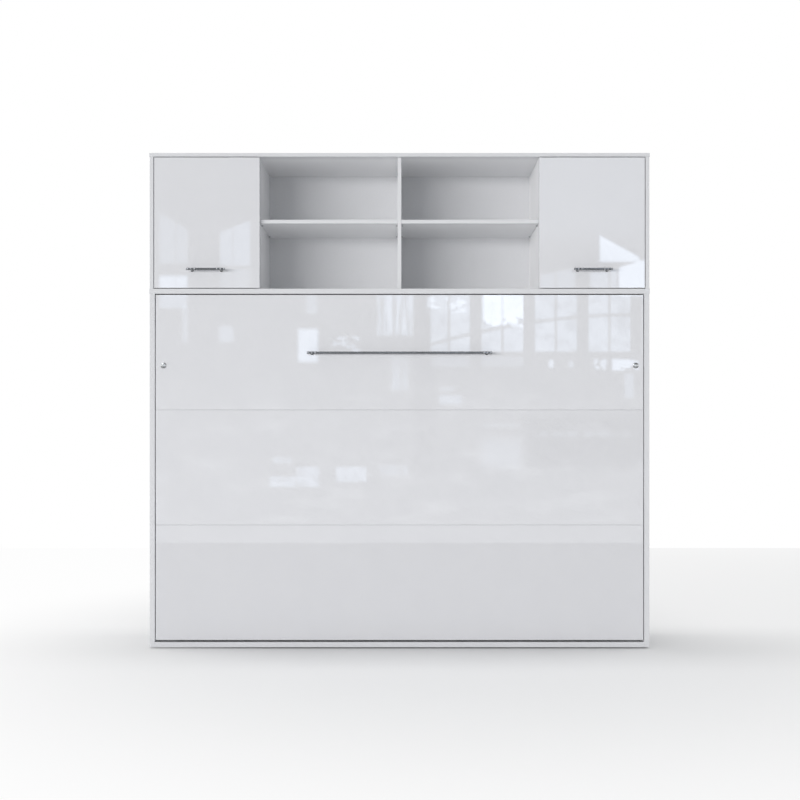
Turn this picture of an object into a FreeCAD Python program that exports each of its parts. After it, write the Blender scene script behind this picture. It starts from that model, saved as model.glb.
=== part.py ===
import FreeCAD, Part
import math
import os

# Horizontal wall bed with an overhead hutch, closed, in millimetres.
# X runs along the bed, the front faces -Y, Z is up and the floor is Z = 0.
# Depths called w are measured back from the plane of the cabinet's front edges.

Vec = FreeCAD.Vector
X_AXIS = Vec(1, 0, 0)
Y_AXIS = Vec(0, 1, 0)
Z_AXIS = Vec(0, 0, 1)

# Cabinet
depth = 380.0
bed_board = 22.0
hutch_board = 16.0
board_lap = 2.0
glide_height = 6.0
glide_radius = 10.0
glide_foot_radius = 8.0
glide_inset = 40.0
inner_glide_place = 358.0
hutch_opening = 568.0
edge_radius = 1.0
back_sheet = 3.0
rail_height = 120.0
rail_board = 18.0
wall_hole_radius = 5.0
wall_hole_inset = 153.0

# Front of three boards
front_board = 18.0
front_side_gap = 4.0
front_top_gap = 5.0
front_bottom_gap = 9.0
front_seam = 0.4

# Hutch
flap_gap = 3.0
flap_width = 454.0
flap_buffer = 3.0
shelf_bottom = 284.0
shelf_play = 0.5
shelf_pin_radius = 2.5
shelf_pin_set = 7.0
shelf_pin_reach = 8.0
shelf_pin_inset = 45.0

# Bar handles
bar_radius = 5.0
bar_standoff = 31.0
ring_rise = 1.0
ring_length = 4.0
ring_pitch = 15.0
post_radius = 4.5
rosette_radius = 8.0
rosette_height = 3.0
bed_handle_length = 792.0
bed_handle_post_inset = 20.0
bed_handle_drop = 251.0
flap_handle_length = 166.0
flap_handle_post_inset = 20.0
flap_handle_lift = 77.0

# Bed frame, slats and mattress
mattress_length = 2000.0
mattress_width = 1400.0
mattress_height = 180.0
mattress_edge_radius = 25.0
mattress_lift = 45.0
mattress_head_room = 40.0
mattress_side_room = 53.0
tube_depth = 40.0
tube_width = 30.0
tube_wall = 2.0
frame_inset = 4.0
cross_tube_place = 330.0
slat_count = 14
slat_width = 53.0
slat_thick = 8.0
slat_bow = 5.0
slat_seat = 4.0
slat_end_margin = 70.0
holder_length = 34.0
holder_side = 4.0
holder_play = 0.3
holder_roof = 2.5
soft_gap = 0.3
strap_width = 40.0
strap_thick = 2.0
strap_inset = 480.0
strap_tail = 25.0

# Pivot of the bed and its gas springs
pivot_depth = 48.0
pivot_height = 287.0
pivot_pin_radius = 8.0
running_gap = 0.05
bush_wall = 2.5
boss_wall = 7.0
boss_length = 11.0
bracket_plate = 5.0
bracket_above = 70.0
bracket_below = 130.0
cabinet_plate = 3.0
cabinet_plate_margin = 34.0
plate_corner = 16.0
plate_hole_radius = 3.0
spring_stud_radius = 5.0
bed_stud_back = 10.0
bed_stud_down = 90.0
cabinet_stud_back = 120.0
cabinet_stud_up = 330.0
spring_radius = 11.0
spring_rod_radius = 5.0
spring_body = 205.0
spring_rod_set = 50.0
spring_eye_radius = 12.0
spring_eye_thick = 12.0
spring_neck = 20.0
stud_head = 2.0
open_pivot_gap = 0.3

# Pull-out legs
leg_inset = 33.0
leg_drop = 304.0
leg_radius = 10.0
leg_wall = 2.0
leg_slide_gap = 0.1
leg_cap_radius = 12.5
leg_cap_height = 6.0
leg_cap_rim = 1.5
leg_cap_gap = 0.3
leg_guide_wall = 3.5
leg_guide_length = 60.0
leg_collar_length = 8.0
leg_collar_rise = 3.0
leg_plate = 4.0
leg_plate_height = 64.0

# Flap hinges and struts
hinge_length = 60.0
hinge_inset = 70.0
hinge_leaf = 0.8
hinge_leaf_width = 14.0
hinge_pin_radius = 0.7
hinge_axis_depth = 0.5
knuckle_radius = 1.4
knuckle_play = 0.3
flap_stud_back = 34.0
flap_stud_down = 80.0
hutch_stud_back = 240.0
hutch_stud_down = 100.0
strut_radius = 7.5
strut_rod_radius = 3.0
strut_body = 165.0
strut_rod_set = 138.0
strut_eye_radius = 7.0
strut_eye_thick = 10.0
strut_neck = 12.0
strut_stud_radius = 3.0
strut_side_gap = 8.0
strut_base_radius = 11.0
strut_base = 3.0
flap_bracket_plate = 3.0
flap_bracket_height = 40.0

# Stops for the closed front
stop_width = 20.0
stop_depth = 20.0
stop_height = 30.0
stop_drop = 26.0
stop_pad = 3.0

# Levels and planes that follow from the sizes above
handle_reach = bar_standoff + bar_radius + ring_rise
front_y = (handle_reach - depth) / 2
bed_inner = mattress_length / 2 + mattress_side_room
half_width = bed_inner + bed_board
hutch_inner = half_width - hutch_board
bottom_top = glide_height + bed_board
front_low = bottom_top + front_bottom_gap
mattress_low = front_low + mattress_lift
mattress_high = mattress_low + mattress_width
front_high = mattress_high + mattress_head_room
bed_top_under = front_high + front_top_gap
hutch_floor = bed_top_under + bed_board
hutch_ceiling = hutch_floor + hutch_opening
front_half = bed_inner - front_side_gap
flap_low = hutch_floor + flap_gap
flap_high = hutch_ceiling - flap_gap
flap_outer_edge = hutch_inner - flap_gap
flap_inner_edge = flap_outer_edge - flap_width
upright_front = hutch_board + flap_buffer
upright_back = depth - back_sheet
shelf_low = hutch_floor + shelf_bottom
frame_w = front_board + tube_depth
slat_end_w = frame_w + slat_seat
mattress_w = slat_end_w + slat_thick + slat_bow + soft_gap
frame_half = mattress_length / 2 - frame_inset
leg_x = front_half - leg_inset
leg_z = front_high - leg_drop
leg_travel = pivot_height - pivot_depth - leg_cap_height - leg_cap_gap

nodes = {}


def block(x0, x1, w0, w1, z0, z1):
    """A board between two X, two depth and two Z limits."""
    return Part.makeBox(x1 - x0, w1 - w0, z1 - z0, Vec(x0, front_y + w0, z0))


def eased(shape, w, radius=edge_radius):
    """Rounds the edges that lie in the plane at depth w."""
    y = front_y + w
    edges = []
    for edge in shape.Edges:
        if all(abs(v.Y - y) < 1e-6 for v in edge.Vertexes):
            edges.append(edge)
    return shape.makeFillet(radius, edges)


def rod_x(x0, x1, w, z, radius):
    """A round bar along X."""
    return Part.makeCylinder(radius, abs(x1 - x0), Vec(min(x0, x1), front_y + w, z), X_AXIS)


def rod_w(x, w0, w1, z, radius):
    """A round bar along the depth."""
    return Part.makeCylinder(radius, w1 - w0, Vec(x, front_y + w0, z), Y_AXIS)


def mirrored(shape):
    """The same piece on the other end of the bed."""
    return shape.mirror(Vec(0, 0, 0), X_AXIS)


def group(shapes):
    """Several separate solids of one node."""
    return Part.makeCompound(shapes)


def pair(name, shape):
    """A right-hand piece and its mirror image as two nodes."""
    nodes[name + "_right"] = shape
    nodes[name + "_left"] = mirrored(shape)


def both(shapes):
    """Right-hand solids with their mirror images."""
    return group(shapes + [mirrored(s) for s in shapes])


def revolved(profile, origin, axis, across):
    """Turns a closed outline of (along, radius) points about an axis through origin."""
    points = [origin + axis * along + across * radius for along, radius in profile]
    face = Part.Face(Part.makePolygon(points + points[:1]))
    return face.revolve(origin, axis, 360)


def rounded_plate(x0, x1, w0, w1, z0, z1, corner):
    """A plate facing X with rounded corners."""
    plate = block(x0, x1, w0, w1, z0, z1)
    edges = [e for e in plate.Edges if abs(e.Vertexes[0].X - e.Vertexes[-1].X) > 1e-6]
    return plate.makeFillet(corner, edges)


# Bed cabinet of boards
side = eased(block(bed_inner, half_width, 0, depth, glide_height, bed_top_under), 0)
pair("bed_side", side)
nodes["bed_bottom_board"] = eased(block(-bed_inner, bed_inner, 0, depth, glide_height, bottom_top), 0)
lapped = half_width + board_lap
nodes["bed_top_board"] = eased(block(-lapped, lapped, 0, depth, bed_top_under, hutch_floor), 0)

# Rear rails that carry the wall fixings
rail_w = depth - rail_board
rails = []
for low in (bottom_top, bed_top_under - rail_height):
    rail = block(-bed_inner, bed_inner, rail_w, depth, low, low + rail_height)
    for side_sign in (-1, 1):
        x = side_sign * (bed_inner - wall_hole_inset)
        rail = rail.cut(rod_w(x, rail_w, depth, low + rail_height / 2, wall_hole_radius))
    rails.append(rail)
nodes["rear_rails"] = group(rails)

# Floor glides under the sides and along the bottom board
glides = []
for x in (bed_inner + bed_board / 2, inner_glide_place):
    for w in (glide_inset, depth - glide_inset):
        outline = [(0, 0), (0, glide_foot_radius), (glide_height, glide_radius), (glide_height, 0)]
        glides.append(revolved(outline, Vec(x, front_y + w, 0), Z_AXIS, X_AXIS))
nodes["floor_glides"] = both(glides)

# Hutch boards
upright = eased(block(hutch_inner, half_width, 0, upright_back, hutch_floor, hutch_ceiling), 0)
pair("hutch_side", upright)
top = block(-lapped, lapped, 0, depth, hutch_ceiling, hutch_ceiling + hutch_board)
nodes["hutch_top_board"] = eased(top, 0)
nodes["hutch_back_panel"] = block(-half_width, half_width, upright_back, depth, hutch_floor, hutch_ceiling)

# Partitions, centre divider and shelves with drilled pin seats
pin_places = (upright_front + shelf_pin_inset, upright_back - shelf_pin_inset)
pin_z = shelf_low - shelf_pin_radius
partition_outer = flap_inner_edge + hutch_board
partition = block(flap_inner_edge, partition_outer, upright_front, upright_back, hutch_floor, hutch_ceiling)
partition = eased(partition, upright_front)
divider_half = hutch_board / 2
divider = block(-divider_half, divider_half, upright_front, upright_back, hutch_floor, hutch_ceiling)
divider = eased(divider, upright_front)
shelf_pins = []
for w in pin_places:
    place = (w, pin_z, shelf_pin_radius)
    at_partition = rod_x(flap_inner_edge - shelf_pin_reach, flap_inner_edge + shelf_pin_set, *place)
    at_divider = rod_x(divider_half - shelf_pin_set, divider_half + shelf_pin_reach, *place)
    partition = partition.cut(at_partition)
    divider = divider.cut(at_divider).cut(mirrored(at_divider))
    shelf_pins += [at_partition, at_divider]
pair("hutch_partition", partition)
nodes["hutch_divider"] = divider
nodes["shelf_pins"] = both(shelf_pins)
shelf_x0 = divider_half + shelf_play
shelf_x1 = flap_inner_edge - shelf_play
shelf = block(shelf_x0, shelf_x1, upright_front, upright_back, shelf_low, shelf_low + hutch_board)
pair("hutch_shelf", eased(shelf, upright_front))

# Front of three equal boards, the upper one bored for the legs
leg_bore = leg_radius + 2 * leg_slide_gap
board_height = (front_high - front_low - 2 * front_seam) / 3
for index, name in enumerate(("lower", "middle", "upper")):
    low = front_low + index * (board_height + front_seam)
    board = eased(block(-front_half, front_half, 0, front_board, low, low + board_height), 0)
    if low < leg_z < low + board_height:
        bore = rod_w(leg_x, 0, front_board, leg_z, leg_bore)
        board = board.cut(bore).cut(mirrored(bore))
    nodes["front_board_" + name] = board


def handle_bar(x, z, length, post_inset):
    """A round bar with three raised rings about each post."""
    origin = Vec(x - length / 2, front_y - bar_standoff, z)
    outline = [(0, 0), (0, bar_radius)]
    centres = []
    for post in (post_inset, length - post_inset):
        centres += [post - ring_pitch, post, post + ring_pitch]
    for centre in centres:
        start = centre - ring_length / 2
        end = centre + ring_length / 2
        ease = ring_rise
        raised = bar_radius + ring_rise
        outline += [(start - ease, bar_radius), (start, raised), (end, raised), (end + ease, bar_radius)]
    outline += [(length, bar_radius), (length, 0)]
    return revolved(outline, origin, X_AXIS, Z_AXIS)


def handle_post(x, z, bar):
    """A turned post on a small rosette, coped to the bar."""
    outline = [(0, 0), (0, rosette_radius), (rosette_height, post_radius)]
    outline += [(bar_standoff, post_radius), (bar_standoff, 0)]
    post = revolved(outline, Vec(x, front_y, z), Y_AXIS * -1, X_AXIS)
    return post.cut(bar)


# Long handle of the bed
bed_handle_z = front_high - bed_handle_drop
bar = handle_bar(0, bed_handle_z, bed_handle_length, bed_handle_post_inset)
nodes["bed_handle_bar"] = bar
post_x = bed_handle_length / 2 - bed_handle_post_inset
nodes["bed_handle_posts"] = both([handle_post(post_x, bed_handle_z, bar)])


def tube(x0, x1, z0, z1, along):
    """A square tube of the bed frame, open at its ends, with its wall all round."""
    outer = block(x0, x1, front_board, frame_w, z0, z1)
    inner_x = (x0, x1) if along == "x" else (x0 + tube_wall, x1 - tube_wall)
    inner_z = (z0, z1) if along == "z" else (z0 + tube_wall, z1 - tube_wall)
    return outer.cut(block(*inner_x, front_board + tube_wall, frame_w - tube_wall, *inner_z))


# Welded tube frame
rail_half = frame_half - tube_width
centre_low = (mattress_low + mattress_high - tube_width) / 2
rail_lows = {
    "lower": mattress_low,
    "centre": centre_low,
    "upper": mattress_high - tube_width,
}
for name, low in rail_lows.items():
    nodes["frame_rail_" + name] = tube(-rail_half, rail_half, low, low + tube_width, "x")
end_tube = tube(rail_half, frame_half, mattress_low, mattress_high, "z")
nodes["frame_ends"] = both([end_tube])
bays = (
    (rail_lows["lower"] + tube_width, rail_lows["centre"]),
    (rail_lows["centre"] + tube_width, rail_lows["upper"]),
)
cross_x0 = cross_tube_place - tube_width / 2
cross_x1 = cross_tube_place + tube_width / 2
nodes["frame_cross_tubes"] = both([tube(cross_x0, cross_x1, low, high, "z") for low, high in bays])


def slat(x, z0, z1):
    """A bent lath along Z, bowed towards the mattress."""
    middle = (z0 + z1) / 2
    corners = []
    for rise in (0, slat_thick):
        y = front_y + slat_end_w + rise
        corners.append((Vec(x, y, z0), Vec(x, y + slat_bow, middle), Vec(x, y, z1)))
    under, over = corners
    outline = [
        Part.Arc(*under).toShape(),
        Part.makeLine(under[2], over[2]),
        Part.Arc(*over).toShape(),
        Part.makeLine(over[0], under[0]),
    ]
    face = Part.Face(Part.Wire(Part.__sortEdges__(outline)))
    return face.extrude(X_AXIS * slat_width)


def holder(x, z0, z1, slats):
    """A moulded slat holder on a rail, with a pocket for each slat end."""
    w1 = slat_end_w + slat_thick + holder_roof
    body = block(x - holder_side, x + slat_width + holder_side, frame_w, w1, z0, z1)
    for low, high in slats:
        pocket = block(
            x - holder_play,
            x + slat_width + holder_play,
            slat_end_w - holder_play,
            w1 - holder_roof / 2,
            low - holder_play,
            high + holder_play,
        )
        body = body.cut(pocket)
    return body


# Two rows of slats in holders on the three long rails
web_half = holder_side / 2
rail_middles = {name: low + tube_width / 2 for name, low in rail_lows.items()}
lower_row = (rail_lows["lower"] + holder_side, rail_middles["centre"] - web_half)
upper_row = (rail_middles["centre"] + web_half, rail_lows["upper"] + tube_width - holder_side)
slat_span = 2 * frame_half - 2 * slat_end_margin - slat_width
slat_pitch = slat_span / (slat_count - 1)
slat_starts = [i * slat_pitch - (slat_span + slat_width) / 2 for i in range(slat_count)]
nodes["slats_lower_row"] = group([slat(x, *lower_row) for x in slat_starts])
nodes["slats_upper_row"] = group([slat(x, *upper_row) for x in slat_starts])
holders = []
for x in slat_starts:
    low_end = rail_lows["lower"]
    high_end = rail_lows["upper"] + tube_width
    middle = rail_middles["centre"]
    holders.append(holder(x, low_end, low_end + holder_length, [lower_row]))
    holders.append(holder(x, middle - holder_length, middle + holder_length, [lower_row, upper_row]))
    holders.append(holder(x, high_end - holder_length, high_end, [upper_row]))
nodes["slat_holders"] = group(holders)

# Mattress and the two bands that hold it
mattress_half = mattress_length / 2
strap_place = mattress_half - strap_inset
mattress_back = mattress_w + mattress_height
mattress = block(-mattress_half, mattress_half, mattress_w, mattress_back, mattress_low, mattress_high)
nodes["mattress"] = mattress.makeFillet(mattress_edge_radius, mattress.Edges)
strap_start = frame_w - strap_tail
strap_skins = []
for offset in (soft_gap + strap_thick, soft_gap):
    far = mattress_back + offset
    skin = block(
        strap_place - strap_width / 2,
        strap_place + strap_width / 2,
        strap_start,
        far,
        mattress_low - offset,
        mattress_high + offset,
    )
    edges = []
    for edge in skin.Edges:
        if all(abs(v.Y - front_y - far) < 1e-6 for v in edge.Vertexes):
            if abs(edge.Vertexes[0].X - edge.Vertexes[-1].X) > 1e-6:
                edges.append(edge)
    strap_skins.append(skin.makeFillet(mattress_edge_radius + offset, edges))
strap_outside, strap_inside = strap_skins
nodes["mattress_straps"] = both([strap_outside.cut(strap_inside)])

# Bed pivot: bracket with boss on the frame, bush, pin and plate on the cabinet
bush_radius = pivot_pin_radius + running_gap + bush_wall
boss_radius = bush_radius + boss_wall
bracket_x1 = frame_half + bracket_plate
boss_x1 = bracket_x1 + boss_length
spring_x = (boss_x1 + bed_inner - cabinet_plate) / 2
eye_x0 = spring_x - spring_eye_thick / 2
eye_x1 = spring_x + spring_eye_thick / 2
bed_stud_w = pivot_depth + bed_stud_back
bed_stud_z = pivot_height - bed_stud_down
bracket = rounded_plate(
    frame_half,
    bracket_x1,
    front_board + open_pivot_gap,
    mattress_w - soft_gap,
    pivot_height - bracket_below,
    pivot_height + bracket_above,
    plate_corner,
)
bracket = bracket.fuse(rod_x(bracket_x1, boss_x1, pivot_depth, pivot_height, boss_radius))
bracket = bracket.cut(rod_x(frame_half, boss_x1, pivot_depth, pivot_height, bush_radius))
stud_x = eye_x0 - open_pivot_gap
bracket = bracket.fuse(rod_x(bracket_x1, stud_x, bed_stud_w, bed_stud_z, spring_stud_radius))
pair("pivot_bracket", bracket.removeSplitter())
bush = rod_x(frame_half, boss_x1, pivot_depth, pivot_height, bush_radius)
bush = bush.cut(rod_x(frame_half, boss_x1, pivot_depth, pivot_height, pivot_pin_radius + running_gap))
nodes["pivot_bushes"] = both([bush])
plate_x0 = bed_inner - cabinet_plate
nodes["pivot_pins"] = both([rod_x(frame_half, plate_x0, pivot_depth, pivot_height, pivot_pin_radius)])
cabinet_stud_w = pivot_depth + cabinet_stud_back
cabinet_stud_z = pivot_height + cabinet_stud_up
plate = rounded_plate(
    plate_x0,
    bed_inner,
    pivot_depth - cabinet_plate_margin / 2 - pivot_pin_radius,
    cabinet_stud_w + cabinet_plate_margin,
    pivot_height - cabinet_plate_margin,
    cabinet_stud_z + cabinet_plate_margin,
    plate_corner,
)
hole_w = cabinet_stud_w + cabinet_plate_margin / 2
for z in (pivot_height, (pivot_height + cabinet_stud_z) / 2, cabinet_stud_z):
    plate = plate.cut(rod_x(plate_x0, bed_inner, hole_w, z, plate_hole_radius))
plate = plate.fuse(rod_x(stud_x, plate_x0, cabinet_stud_w, cabinet_stud_z, spring_stud_radius))
head_radius = spring_stud_radius + stud_head
head = rod_x(stud_x - stud_head, stud_x, cabinet_stud_w, cabinet_stud_z, head_radius)
pair("pivot_plate", plate.fuse(head).removeSplitter())


def stay(x, start, end, body, body_radius, rod_radius, rod_set, eye_radius, eye_thick, neck, stud_radius):
    """Cylinder and rod of a gas stay between two studs given as (w, z), as two solids."""
    origin = Vec(x, front_y + start[0], start[1])
    far = Vec(x, front_y + end[0], end[1])
    line = far - origin
    length = line.Length
    line.normalize()
    eyes = []
    for centre in (origin, far):
        face = centre - X_AXIS * (eye_thick / 2)
        hole = Part.makeCylinder(stud_radius + running_gap, eye_thick, face, X_AXIS)
        eyes.append((Part.makeCylinder(eye_radius, eye_thick, face, X_AXIS), hole))
    shoulder = body_radius / 3
    bore = rod_radius + running_gap
    body_end = neck + body
    floor = neck + eye_radius
    outline = [(neck, 0), (neck, body_radius - shoulder), (neck + shoulder, body_radius)]
    outline += [(body_end, body_radius), (body_end, bore), (floor, bore), (floor, 0)]
    barrel = revolved(outline, origin, line, X_AXIS)
    shank = Part.makeCylinder(rod_radius, neck, origin, line)
    eye, hole = eyes[0]
    cylinder = eye.fuse([shank, barrel]).cut(hole).removeSplitter()
    eye, hole = eyes[1]
    piston = Part.makeCylinder(rod_radius, length - body_end + rod_set, far, line * -1)
    return cylinder, eye.fuse(piston).cut(hole).removeSplitter()


# Gas springs between the cabinet studs and the bed studs
cylinder, rod = stay(
    spring_x, (cabinet_stud_w, cabinet_stud_z), (bed_stud_w, bed_stud_z), spring_body, spring_radius,
    spring_rod_radius, spring_rod_set, spring_eye_radius, spring_eye_thick, spring_neck, spring_stud_radius)
nodes["gas_cylinders"] = both([cylinder])
nodes["gas_rods"] = both([rod])

# Pull-out legs through the upper front board, in guides on the frame ends
guide_bore = leg_radius + leg_slide_gap
guide_radius = guide_bore + leg_guide_wall
guide_w1 = front_board + leg_guide_length
guide = rod_w(leg_x, front_board, guide_w1, leg_z, guide_radius)
plate_low = leg_z - leg_plate_height / 2
plate_high = leg_z + leg_plate_height / 2
foot = block(frame_half, frame_half + leg_plate, front_board, frame_w, plate_low, plate_high)
web = block(frame_half, leg_x, front_board, frame_w, leg_z - leg_radius, leg_z + leg_radius)
guide = guide.fuse([foot, web]).cut(rod_w(leg_x, front_board, guide_w1, leg_z, guide_bore))
nodes["leg_guides"] = both([guide.removeSplitter()])
collar_w0 = guide_w1 + leg_travel + leg_cap_gap
leg_end = collar_w0 + leg_collar_length
leg = rod_w(leg_x, -leg_cap_gap, leg_end, leg_z, leg_radius)
leg = leg.fuse(rod_w(leg_x, collar_w0, leg_end, leg_z, leg_radius + leg_collar_rise))
leg = leg.cut(rod_w(leg_x, -leg_cap_gap, leg_end, leg_z, leg_radius - leg_wall))
nodes["legs"] = both([leg.removeSplitter()])
dome = leg_cap_height - leg_cap_rim
dome_radius = (leg_cap_radius ** 2 + dome ** 2) / (2 * dome)
cap_w0 = -leg_cap_gap - leg_cap_height
ball = Part.makeSphere(dome_radius, Vec(leg_x, front_y + cap_w0 + dome_radius, leg_z))
cap = rod_w(leg_x, cap_w0, -leg_cap_gap, leg_z, leg_cap_radius).common(ball)
nodes["leg_caps"] = both([cap])

# Buffers that the closed front rests against
stop_z = front_high - stop_drop
stop_w = front_board + soft_gap
stop = block(bed_inner - stop_width, bed_inner, stop_w, stop_w + stop_depth, stop_z - stop_height / 2,
             stop_z + stop_height / 2)
nodes["front_stops"] = both([eased(stop, stop_w, stop_pad)])

# Flap hinges: leaves under the top board and on the flap edge, on one pin
hinge_z = flap_high + flap_gap / 2
hinge_w = hinge_axis_depth
leaf_w1 = hinge_w + hinge_leaf_width
knuckle = hinge_length / 3
fixed_leaves = []
moving_leaves = []
hinge_pins = []
for start in (flap_inner_edge + hinge_inset, flap_outer_edge - hinge_inset - hinge_length):
    end = start + hinge_length
    pin_hole = rod_x(start, end, hinge_w, hinge_z, hinge_pin_radius)
    loose_hole = rod_x(start, end, hinge_w, hinge_z, hinge_pin_radius + running_gap)
    middle0 = start + knuckle
    middle1 = end - knuckle
    clear_z = knuckle_radius + knuckle_play
    leaf = block(start, end, hinge_w, leaf_w1, hutch_ceiling - hinge_leaf, hutch_ceiling)
    gap_block = block(middle0 - knuckle_play, middle1 + knuckle_play, hinge_w - clear_z, hinge_w + clear_z,
                      hinge_z - clear_z, hutch_ceiling)
    outer_knuckles = [
        rod_x(start, middle0 - knuckle_play, hinge_w, hinge_z, knuckle_radius),
        rod_x(middle1 + knuckle_play, end, hinge_w, hinge_z, knuckle_radius),
    ]
    fixed = leaf.cut(gap_block).fuse(outer_knuckles).cut(pin_hole)
    fixed_leaves.append(fixed.removeSplitter())
    leaf = block(start, end, hinge_w, leaf_w1, flap_high, flap_high + hinge_leaf)
    for x0, x1 in ((start, middle0), (middle1, end)):
        leaf = leaf.cut(block(x0, x1, hinge_w, hinge_w + clear_z, flap_high, flap_high + hinge_leaf))
    moving = leaf.fuse(rod_x(middle0, middle1, hinge_w, hinge_z, knuckle_radius)).cut(loose_hole)
    moving_leaves.append(moving.removeSplitter())
    hinge_pins.append(pin_hole)
nodes["flap_hinge_fixed_leaves"] = both(fixed_leaves)
nodes["flap_hinge_pins"] = both(hinge_pins)
pair("flap_hinge_leaves", group(moving_leaves))

# Flaps with their bar handles
flap = eased(block(flap_inner_edge, flap_outer_edge, 0, hutch_board, flap_low, flap_high), 0)
pair("flap_door", flap)
flap_handle_x = (flap_inner_edge + flap_outer_edge) / 2
flap_handle_z = flap_low + flap_handle_lift
bar = handle_bar(flap_handle_x, flap_handle_z, flap_handle_length, flap_handle_post_inset)
pair("flap_handle_bar", bar)
post_x = flap_handle_length / 2 - flap_handle_post_inset
posts = [handle_post(flap_handle_x + offset, flap_handle_z, bar) for offset in (-post_x, post_x)]
pair("flap_handle_posts", group(posts))

# Flap struts with a stud on the hutch side and a bracket on the flap
strut_x = hutch_inner - strut_side_gap - strut_eye_thick / 2
strut_eye_x0 = strut_x - strut_eye_thick / 2
hutch_stud = (hinge_w + hutch_stud_back, hinge_z - hutch_stud_down)
flap_stud = (hinge_w + flap_stud_back, hinge_z - flap_stud_down)
cylinder, rod = stay(
    strut_x, hutch_stud, flap_stud, strut_body, strut_radius, strut_rod_radius, strut_rod_set,
    strut_eye_radius, strut_eye_thick, strut_neck, strut_stud_radius)
pair("strut_cylinder", cylinder)
pair("strut_rod", rod)
stud = rod_x(hutch_inner - strut_base, hutch_inner, *hutch_stud, strut_base_radius)
stud = stud.fuse(rod_x(strut_eye_x0, hutch_inner - strut_base, *hutch_stud, strut_stud_radius))
nodes["strut_studs"] = both([stud.removeSplitter()])
ear_x1 = strut_eye_x0 - open_pivot_gap - strut_stud_radius
ear_x0 = ear_x1 - flap_bracket_plate
ear_w1 = flap_stud[0] + strut_eye_radius
base_low = flap_stud[1] - flap_bracket_height / 2
base_high = flap_stud[1] + flap_bracket_height / 2
base_w1 = hutch_board + flap_bracket_plate
ear_z0 = flap_stud[1] - strut_eye_radius
ear_z1 = flap_stud[1] + strut_eye_radius
ear = block(ear_x0, ear_x1, hutch_board, ear_w1, ear_z0, ear_z1)
base = block(ear_x1 - flap_bracket_height, ear_x1, hutch_board, base_w1, base_low, base_high)
peg = rod_x(ear_x1, strut_eye_x0 - open_pivot_gap, *flap_stud, strut_stud_radius)
pair("flap_strut_bracket", ear.fuse([base, peg]).removeSplitter())


def follow(fixed, moving, pivot, sense):
    """Angle and stroke of a stay when its moving stud turns 90 degrees about a pivot, all as (w, z)."""
    dw = moving[0] - pivot[0]
    dz = moving[1] - pivot[1]
    end = (pivot[0] - sense * dz, pivot[1] + sense * dw)
    before = (moving[0] - fixed[0], moving[1] - fixed[1])
    after = (end[0] - fixed[0], end[1] - fixed[1])
    swing = math.degrees(math.atan2(after[1], after[0]) - math.atan2(before[1], before[0]))
    return (swing + 180) % 360 - 180, math.hypot(*after) - math.hypot(*before)


# Facts for whoever drives the joints
pivot = (pivot_depth, pivot_height)
spring_fixed = (cabinet_stud_w, cabinet_stud_z)
spring_moving = (bed_stud_w, bed_stud_z)
print("front plane y", front_y, "leg travel", leg_travel, "leg end depth", leg_end)
print("gas spring swing and stroke", follow(spring_fixed, spring_moving, pivot, 1))
print("flap strut swing and stroke", follow(hutch_stud, flap_stud, (hinge_w, hinge_z), -1))

os.makedirs("parts", exist_ok=True)
for name, shape in nodes.items():
    shape.exportStep("parts/" + name + ".step")
    print(name, len(shape.Solids), shape.isValid())
print(len(nodes), "nodes")
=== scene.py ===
import math

import bmesh
import bpy
import numpy as np
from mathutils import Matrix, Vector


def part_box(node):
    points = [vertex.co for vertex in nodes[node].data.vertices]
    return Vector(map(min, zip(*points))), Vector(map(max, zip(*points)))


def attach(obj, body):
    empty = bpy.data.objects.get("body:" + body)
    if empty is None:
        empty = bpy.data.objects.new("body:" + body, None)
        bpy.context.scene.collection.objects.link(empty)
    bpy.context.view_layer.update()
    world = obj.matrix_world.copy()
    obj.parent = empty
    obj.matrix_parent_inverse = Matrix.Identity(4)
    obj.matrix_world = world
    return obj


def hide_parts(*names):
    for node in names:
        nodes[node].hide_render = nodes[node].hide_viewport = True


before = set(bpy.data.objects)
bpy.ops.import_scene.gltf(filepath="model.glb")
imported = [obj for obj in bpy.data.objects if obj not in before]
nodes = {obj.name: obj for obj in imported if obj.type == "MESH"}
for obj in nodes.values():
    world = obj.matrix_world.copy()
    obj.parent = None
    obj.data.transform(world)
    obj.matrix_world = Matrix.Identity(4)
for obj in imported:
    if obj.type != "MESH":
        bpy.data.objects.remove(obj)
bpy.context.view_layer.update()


# The view, straight on to the closed front and a little under half its height.
# The lens is shifted up, so that the uprights stay parallel.
front_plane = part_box("bed_top_board")[0][1]
view_distance = 4.797
view_height = 0.9135
view_lens = bpy.data.cameras.new("view")
view_lens.sensor_width = 36.0
view_lens.lens = 50.17
view_lens.shift_x = 0.0006
view_lens.shift_y = 0.0454
view = bpy.data.objects.new("view", view_lens)
view.location = (0.0, front_plane - view_distance, view_height)
view.rotation_euler = (math.pi / 2, 0.0, 0.0)
bpy.context.scene.collection.objects.link(view)
bpy.context.scene.camera = view
bpy.context.scene.view_settings.view_transform = "Standard"


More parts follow.
